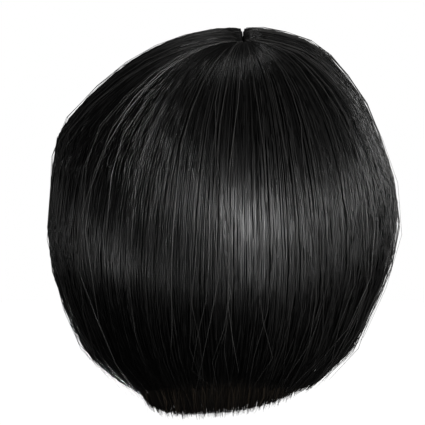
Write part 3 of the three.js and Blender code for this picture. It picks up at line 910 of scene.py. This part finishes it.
def strand_tree():
    """Fibres over a sheet, from its root edge to its tips, in locks that part and cross a little."""
    graph, given = geometry_tree(
        "strands",
        {
            "Count": ("Int", 100),
            "Steps": ("Int", 12),
            "Width": ("Float", 0.4 * mm),
            "Wander": ("Float", 0.01),
            "Lock Count": ("Float", 40.0),
            "Lift": ("Float", 0.8 * mm),
            "Stray": ("Float", 0.5 * mm),
            "Ragged": ("Float", 0.1),
            "Wisps": ("Float", 0.0),
            "Root Detail": ("Float", 1.0),
            "Flyaway": ("Float", 7.0 * mm),
            "Flyaway Rarity": ("Float", 90.0),
            "Seed": ("Int", 1),
            "Material": ("Material", None),
        },
    )

    def chance(low, high, salt):
        return graph.add(
            "FunctionNodeRandomValue",
            {"data_type": "FLOAT"},
            {"Min": low, "Max": high, "ID": strand, "Seed": given["Seed"] + salt},
        )

    def ripple(scale_u, scale_v, salt, scatter=0.0):
        """Smooth noise about 0 over the sheet, shared by neighbouring fibres unless scattered."""
        spot = graph.add(
            "ShaderNodeCombineXYZ",
            inputs={0: u * scale_u + scatter, 1: v * scale_v, 2: given["Seed"] * 7.3 + salt},
        )
        return (noise_at(graph, spot, 1.0, 1.0) - 0.5) * 2.6

    line = graph.add("GeometryNodeCurvePrimitiveLine", inputs={"End": (0, 0, 1)})
    line = graph.add("GeometryNodeResampleCurve", inputs={"Curve": line, "Count": given["Steps"]})
    copies = graph.add("GeometryNodeDuplicateElements", {"domain": "SPLINE"},
                       {"Geometry": line, "Amount": given["Count"]})
    strand = copies["Duplicate Index"]
    v = graph.add("GeometryNodeSplineParameter")["Factor"] ** given["Root Detail"]
    v = v + v * (1 - v) * chance(-0.22, 0.22, 12)
    u = (strand + chance(0.0, 1.0, 1)) / given["Count"]
    wisp = chance(0.0, 1.0, 11) ** 9.0
    reach = 1 - given["Ragged"] * chance(0.0, 1.0, 2) ** 3 - given["Wisps"] * (1 - wisp)
    v_on = v * reach
    loose = v_on ** 1.5
    sideways = ripple(given["Lock Count"], 1.5, 3.1) * given["Wander"] * loose
    sideways = sideways + ripple(given["Lock Count"] * 4.0, 3.0, 9.7) * given["Wander"] * 0.3 * loose
    fly = chance(0.0, 1.0, 9) ** given["Flyaway Rarity"]
    own = ripple(1.0, 2.5, 5.5, chance(0.0, 900.0, 4))
    sideways = sideways + own * given["Wander"] * (0.35 + fly * 12.0 + wisp * v ** 5.0 * 3.0) * loose
    place = graph.add("ShaderNodeCombineXYZ", inputs={0: u + sideways, 1: v_on, 2: 0.0})

    def on_sheet(data_type, name):
        return graph.add("GeometryNodeInputNamedAttribute", {"data_type": data_type}, {"Name": name})

    def sampled(data_type, value):
        uv = on_sheet("FLOAT_VECTOR", "sheet")
        return graph.add(
            "GeometryNodeSampleUVSurface",
            {"data_type": data_type},
            {"Mesh": given["Geometry"], "Value": value, "UV Map": uv, "Sample UV": place},
        )

    spot = sampled("FLOAT_VECTOR", graph.add("GeometryNodeInputPosition"))
    out = sampled("FLOAT_VECTOR", graph.add("GeometryNodeInputNormal"))
    room = sampled("FLOAT", on_sheet("FLOAT", "room"))
    lift = ripple(given["Lock Count"] * 1.3, 2.0, 1.7) * given["Lift"] * v_on
    lift = lift + ripple(given["Lock Count"] * 6.0, 4.0, 4.4) * given["Lift"] * 0.35 * v_on ** 0.5
    lift = lift + ripple(1.0, 3.5, 8.8, chance(0.0, 900.0, 5)) * given["Stray"] * v_on ** 0.5
    drift = 0.7 + ripple(1.0, 2.5, 2.2, chance(0.0, 900.0, 10)) * 0.7
    lift = lift + fly * given["Flyaway"] * v_on ** 0.5 * drift
    depth = room * chance(0.0, 1.0, 6) * (1 - fly)
    place = spot + out * (lift - depth)
    curves = graph.add("GeometryNodeSetPosition", inputs={"Geometry": copies, "Position": place})
    # Per-strand colour value: partly random tone and partly painted sheen streaks; flyaway hairs get a much
    # lighter value as a painted highlight.
    curves = graph.add(
        "GeometryNodeStoreNamedAttribute",
        {"data_type": "FLOAT", "domain": "POINT"},
        {"Geometry": curves, "Name": "tone_and_sheen", "Value": chance(0.0, 1.0, 7) ** 2.0 * 0.2 + fly * 0.8},
    )
    taper = 1 - 0.7 * v ** 6.0
    thickness = taper * chance(0.6, 1.5, 8) * (1 - fly * 0.5)
    return tubes_along(graph, curves, given["Width"] * 0.5, 3, given["Material"], thickness, rounded=True)


def sheet_mesh(name, points, room):
    """A surface for strands from a grid of points, [root to tip][across], with the room under it."""
    rows, columns = points.shape[:2]
    mesh = bpy.data.meshes.new(name)
    at = np.arange(rows * columns).reshape(rows, columns)
    quads = np.stack([at[:-1, :-1], at[1:, :-1], at[1:, 1:], at[:-1, 1:]], -1).reshape(-1, 4)
    mesh.from_pydata((points.reshape(-1, 3) * mm).tolist(), [], quads.tolist())
    v, u = np.meshgrid(np.linspace(0, 1, rows), np.linspace(0, 1, columns), indexing="ij")
    spots = np.stack([u, v, 0 * u], -1).reshape(-1, 3)
    stored(mesh, "sheet", "FLOAT_VECTOR", "vector", spots)
    stored(mesh, "room", "FLOAT", "value", np.ravel(room) * mm)
    mesh.shade_smooth()
    return mesh


STRANDS = strand_tree()


def fibre(name, dark, light, roughness):
    """Smooth synthetic fibre, each one a little lighter or darker than the next, partly its own random tone
    and partly painted sheen streaks, with loose flyaway hairs given a much lighter painted highlight.
    """
    material, graph = new_material(name)
    tone_and_sheen = graph.add("ShaderNodeAttribute", {"attribute_name": "tone_and_sheen"})["Fac"]
    shader = graph.add(
        "ShaderNodeBsdfPrincipled",
        inputs={"Base Color": mixed(graph, tone_and_sheen, dark, light), "Roughness": roughness, "IOR": 1.55},
    )
    finished(graph, shader)
    return material


# For both fibres the lighter end of the mix carries partly the fibre's own tone and partly painted sheen, and
# the flyaways' painted highlight.
HAIR = fibre("black_fibre", (0.0, 0.0, 0.0), (0.058, 0.0565, 0.055), 0.3)
NAPE_HAIR = fibre("brown_black_fibre", (0.002, 0.0016, 0.0012), (0.045, 0.032, 0.02), 0.4)


ROWS = 10
NAPE_ROWS = 3
TOP_ROW = -22
FIBRE_BASE = 1.9
OUTER_GAP = 1.5
OUTER_SKIN = 3
TUCK = 1.2
NAPE_EDGE = 120
SIDE_EDGE = 72
HEAD_FACES = (1.45, 2.1)
TRACK_HEIGHT = 1.6
FIBRE_WIDTH = 0.45


def stand_off(p):
    """How far points stand off the cap's surface."""
    shape = p.shape[:-1]
    return halve(np.full(shape, -60.0), np.full(shape, 60.0), lambda off: ~inside_cap(p, off))


def root_height(angle, row):
    return lerp(rim_height(angle) + 6, TOP_ROW, row / (ROWS - 1))


def phi_on_cap(angle, z):
    """Where a strand laid on the cap comes down to a height."""
    return halve(np.full(np.shape(angle), 2.0), np.full(np.shape(angle), 150.0),
                 lambda phi: layer_point(angle, phi, 0.0)[..., 2] > z, 16)


def weft_room(angle, phi):
    """The depth between the cap and the outer hair that the wefts share."""
    centre = plane_of(angle, phi)[1]
    p = hair_point(angle, phi)
    axis = np.concatenate([centre, np.full(centre.shape[:-1] + (1,), float(HAIR_LEVEL))], -1)
    inner = hair_point(angle, phi, 1 - OUTER_SKIN / np.linalg.norm(p - axis, axis=-1))
    return stand_off(inner) - OUTER_GAP - FIBRE_BASE


def row_sheet(row, end_phi, columns=40, rows=26):
    """The surface that a row's strands lie on, over the rows below it."""
    side_from = NAPE_EDGE if row < NAPE_ROWS else SIDE_EDGE
    angle = np.linspace(side_from, 360 - side_from, columns)
    start = phi_on_cap(angle, root_height(angle, row)) + 0.4
    t = np.linspace(0, 1, rows)[:, None]
    phi = start + (end_phi(angle) - start) * t
    angle = np.broadcast_to(angle, phi.shape)
    least = lerp(3, 5, smooth(phi, 142, 152))
    room = np.maximum(weft_room(angle, phi), least)
    first = root_height(angle, 0)
    level = (layer_point(angle, phi, 0.0)[..., 2] - first) / (TOP_ROW - first) * (ROWS - 1)
    level = np.where(level > 0, level, TUCK * (np.exp(level / TUCK) - 1))
    step = room / (ROWS + TUCK)
    off = FIBRE_BASE + step * np.maximum(row - level, 0) + step * 0.5
    return sheet_mesh("sheet", layer_point(angle, phi, off), step * 0.5)


def row_end(angle, row):
    turn = np.abs(180 - angle) / 60
    if row >= NAPE_ROWS:
        return np.interp(60 * turn, [50, 60, 76, 82], [133, 139, 139, 126])
    lowest = 2.6 * np.exp(-(((angle - 143) / 32) ** 2))
    return 149.8 + lowest - np.where(angle > 180, 4, 0) * turn**2 - 5 * smooth(turn, 0.8, 1.0)


def weft_head(name, angle, phi, material):
    """The stitched head of a weft, on the strands' own lines so that it sits under their roots."""
    across, through = flat_section(10)
    level = phi[:, None] - lerp(TRACK_HEIGHT, 0, (across + 1) / 2)
    off = lerp(*HEAD_FACES, (through + 1) / 2)
    rings = layer_point(np.broadcast_to(angle[:, None], level.shape), level, off)
    run = np.concatenate([[0], np.cumsum(np.linalg.norm(np.diff(rings.mean(1), axis=0), axis=1))])
    cloth = np.stack(np.broadcast_arrays(run[:, None], across * 1.3, through), -1)
    return lofted(name, rings, material, cloth)


def weft_zigzag(angle, phi):
    level = phi - TRACK_HEIGHT * np.where(np.arange(len(angle)) % 2, 0.15, 0.85)
    return legs_along(layer_point(angle, level, HEAD_FACES[1] + 0.1))


TRACK_TAPE = woven_tape("weft_head", (0.005, 0.005, 0.005), (0.028, 0.027, 0.026), 0.9, 0.5, 0.2, 0.1)

zigzags = []
for row in range(ROWS):
    name = f"{row + 1:02d}"
    nape = row < NAPE_ROWS
    side_from = NAPE_EDGE if nape else SIDE_EDGE
    angle = np.linspace(side_from, 360 - side_from, 70)
    phi = phi_on_cap(angle, root_height(angle, row))
    head = weft_head(f"weft_track_{name}_tape", angle, phi, TRACK_TAPE)
    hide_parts(f"weft_track_{name}")
    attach(head, "cap")
    angle = np.linspace(side_from + 0.5, 359.5 - side_from, 170)
    zigzags.append(weft_zigzag(angle, phi_on_cap(angle, root_height(angle, row))))
    hair = grown(
        f"weft_hair_{name}_strands",
        row_sheet(row, lambda a: row_end(a, row)),
        STRANDS,
        {
            "Count": 2300 if nape else 850,
            "Steps": 10,
            "Width": FIBRE_WIDTH * mm,
            "Seed": 40 + row,
            "Ragged": 0.14 if nape else 0.2,
            "Flyaway": 6 * mm if nape else 0.0,
            "Lift": 0.8 * mm if nape else 0.2 * mm,
            "Stray": 0.5 * mm if nape else 0.15 * mm,
            "Wisps": 0.04 if nape else 0.0,
            "Material": NAPE_HAIR if nape else HAIR,
        },
    )
    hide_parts(f"weft_hair_{name}")
    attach(hair, "cap")


# ---- Fringe wefts
# Three short rows of weft over the forehead hold up the fringe from below. They are sewn to the net,
# and each one's fibre lies over the row in front of it.

FRINGE_EDGE = 48
FRINGE_END = 92
FRINGE_ROOTS = (57, 47, 37)


def fringe_sheet(row, columns=40, rows=20):
    first, second = FRINGE_ROOTS[:2]
    pitch = first - second
    lowest = (first - FRINGE_END) / pitch
    phi = np.linspace(FRINGE_ROOTS[row] + 0.4, 90, rows)[:, None]
    angle = np.broadcast_to(np.linspace(-FRINGE_EDGE, FRINGE_EDGE, columns), (rows, columns))
    phi = np.broadcast_to(phi, angle.shape)
    step = weft_room(angle, phi) / (len(FRINGE_ROOTS) - lowest)
    off = FIBRE_BASE + step * (row - (first - phi) / pitch) + step * 0.5
    return sheet_mesh("sheet", layer_point(angle, phi, off), step * 0.5)


for row, root in enumerate(FRINGE_ROOTS):
    angle = np.linspace(-FRINGE_EDGE, FRINGE_EDGE, 40)
    head = weft_head(f"fringe_track_{row + 1}_tape", angle, np.full(40, float(root)), TRACK_TAPE)
    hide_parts(f"fringe_track_{row + 1}")
    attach(head, "cap")
    angle = np.linspace(-FRINGE_EDGE + 0.5, FRINGE_EDGE - 0.5, 110)
    zigzags.append(weft_zigzag(angle, np.full(110, float(root))))
    hair = grown(
        f"fringe_weft_{row + 1}_strands",
        fringe_sheet(row),
        STRANDS,
        {
            "Count": 900,
            "Steps": 8,
            "Width": FIBRE_WIDTH * mm,
            "Seed": 60 + row,
            "Ragged": 0.2,
            "Flyaway": 0.0,
            "Material": HAIR,
        },
    )
    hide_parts(f"fringe_weft_{row + 1}")
    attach(hair, "cap")

stitched("weft_stitching", np.concatenate(zigzags), radius=0.14)


# ---- Outer hair
# The top layer of long black fibre, knotted into the skin top along the parting and combed to the back,
# the two sides and the fringe. Its ends turn in under the bob, and a few loose hairs stand off it.

# How far a rooted strand stands from the parting's line, and how far under its first point.
ROOT_LINE = ((0.5, None), (0.6, 1.8))
ROOT_DEPTHS = (0.3, 0.3, 0.6, 1.4)
FIRST_PHI = 0.7
OUTER_SINK = 0.2
OUTER_DEPTH = 3.0
OUTER_WIDTH = 0.58


def skin_top_height(x, y):
    across = x / (CAP_HALF_WIDTH + SKIN_THICKNESS)
    along = y / (CAP_HALF_LENGTH + SKIN_THICKNESS)
    return CAP_LEVEL + (CAP_TOP - CAP_LEVEL + SKIN_THICKNESS) * np.sqrt(1 - across**2 - along**2)


def tip_phi(angle):
    a = np.abs((angle + 180) % 360 - 180)
    longer = 2.5 * np.exp(-(((angle - 122) / 20) ** 2))
    return np.interp(a, [48, 72, 92, 112, 130, 150, 180], [137, 141, 147, 150, 148, 142, 136]) + longer


def outer_sheet(start, end, end_phi, columns=60, rows=48):
    """The surface of the outer hair between two angles, with its roots drawn down into the skin top."""
    angle = np.linspace(start, end, columns)[None, :]
    t = np.linspace(0, 1, rows)[:, None]
    phi = FIRST_PHI + (end_phi(angle) - FIRST_PHI) * t
    angle = np.broadcast_to(angle, phi.shape)
    middle = np.concatenate([plane_of(angle, phi)[1], np.full(phi.shape + (1,), float(HAIR_LEVEL))], -1)
    reach = np.linalg.norm(hair_point(angle, phi) - middle, axis=-1)
    points = hair_point(angle, phi, 1 - OUTER_SINK / reach)
    outline, centre, _ = plane_of(angle[:1], phi[:1])
    out = (outline - centre) / np.linalg.norm(outline - centre, axis=-1, keepdims=True)
    foot = centre + out * ROOT_LINE[0][0]
    skin = skin_top_height(foot[..., 0], foot[..., 1]) + 0.6
    roots = []
    for reach, below in ROOT_LINE:
        z = skin if below is None else points[:1, :, 2] - below
        roots.append(np.concatenate([centre + out * reach, z[..., None]], -1))
    points = np.concatenate(roots + [points], 0)
    room = np.full(points.shape[:2], OUTER_DEPTH)
    room[: len(ROOT_DEPTHS)] = np.array(ROOT_DEPTHS)[:, None]
    return sheet_mesh("sheet", points, room)


for name, start, end, end_phi, count in (
    ("crown_hair_back", 108, 252, tip_phi, 2250),
    ("crown_hair_left", 48, 108, tip_phi, 2000),
    ("crown_hair_right", 252, 312, tip_phi, 2000),
    ("fringe_hair", -48, 48, lambda a: np.full(a.shape, float(FRINGE_END)), 2000),
):
    piece = grown(
        name + "_strands",
        outer_sheet(start, end, end_phi),
        STRANDS,
        {
            "Count": count,
            "Steps": 15,
            "Root Detail": 1.5,
            "Width": OUTER_WIDTH * mm,
            "Wander": 0.016,
            "Lock Count": 30.0,
            "Lift": 1.3 * mm,
            "Seed": len(name),
            "Ragged": 0.12,
            "Wisps": 0.02,
            "Flyaway": 4.5 * mm,
            "Flyaway Rarity": 45.0,
            "Material": HAIR,
        },
    )
    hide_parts(name)
    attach(piece, "cap")


# ---- Stage
# A white floor and backdrop that the hair doesn't mirror, five soft lights that draw the sheen, and a
# camera behind the wig, a little above its middle.

FLOOR_REACH = 6.0
FLOOR_LEVEL = -1.0
AMBIENT = 0.03
CAMERA_SHIFT = 5.1
CAMERA_DISTANCE = 1.5
CAMERA_TILT = math.radians(6)
VIEW_WIDTH = 0.255

r = FLOOR_REACH
corners = [(x, y, FLOOR_LEVEL) for x, y in ((-r, -r), (r, -r), (r, r), (-r, r))]
floor_mesh = bpy.data.meshes.new("floor")
floor_mesh.from_pydata(corners, [], [(0, 1, 2, 3)])
floor = placed("floor", floor_mesh)
pale = bpy.data.materials.new("pale_floor")
pale.use_nodes = True
surface = pale.node_tree.nodes["Principled BSDF"].inputs
surface["Base Color"].default_value = (0.8, 0.8, 0.8, 1)
surface["Emission Color"].default_value = (1, 1, 1, 1)
surface["Emission Strength"].default_value = 1.0
floor.visible_glossy = False
floor.visible_diffuse = False
floor_mesh.materials.append(pale)

world = bpy.data.worlds.new("studio")
bpy.context.scene.world = world
world.use_nodes = True
world.node_tree.nodes.clear()
sky = Graph(world.node_tree)
seen = sky.add("ShaderNodeLightPath")["Is Camera Ray"]
strength = AMBIENT + seen * (1 - AMBIENT)
backdrop = sky.add("ShaderNodeBackground", inputs={"Color": (1, 1, 1, 1), "Strength": strength})
sky.add("ShaderNodeOutputWorld", inputs={"Surface": backdrop})


def softbox(name, place, aim, size, power):
    """A soft rectangular light that faces a point."""
    light = bpy.data.lights.new(name, "AREA")
    light.shape = "RECTANGLE"
    light.size, light.size_y = size
    light.energy = power
    lamp = placed(name, light)
    lamp.location = place
    lamp.rotation_euler = (Vector(aim) - Vector(place)).to_track_quat("-Z", "Y").to_euler()


middle = (Vector(cad_bounds[0]) + Vector(cad_bounds[1])) / 2 + Vector((CAMERA_SHIFT * mm, 0, 0))
softbox("level_right_key", (-1.2, 1.15, -0.25), middle, (0.6, 0.2), 5)
softbox("level_left_key", (1.0, 1.3, -0.36), middle, (0.6, 0.2), 5)
softbox("right_key", (-0.95, 1.25, 0.22), middle, (0.55, 0.3), 23)
softbox("top", (0.3, -0.4, 1.4), middle, (0.4, 0.4), 4)
softbox("low_front_fill", (0.15, -1.4, -0.85), middle, (0.6, 0.3), 50)
bpy.context.scene.view_settings.view_transform = "Standard"

camera_data = bpy.data.cameras.new("camera")
camera = placed("camera", camera_data)
away = Vector((0, math.cos(CAMERA_TILT), math.sin(CAMERA_TILT)))
camera.location = middle + away * CAMERA_DISTANCE
camera.rotation_euler = (middle - camera.location).to_track_quat("-Z", "Y").to_euler()
camera_data.sensor_width = 36
camera_data.lens = camera_data.sensor_width * CAMERA_DISTANCE / VIEW_WIDTH
bpy.context.scene.camera = camera
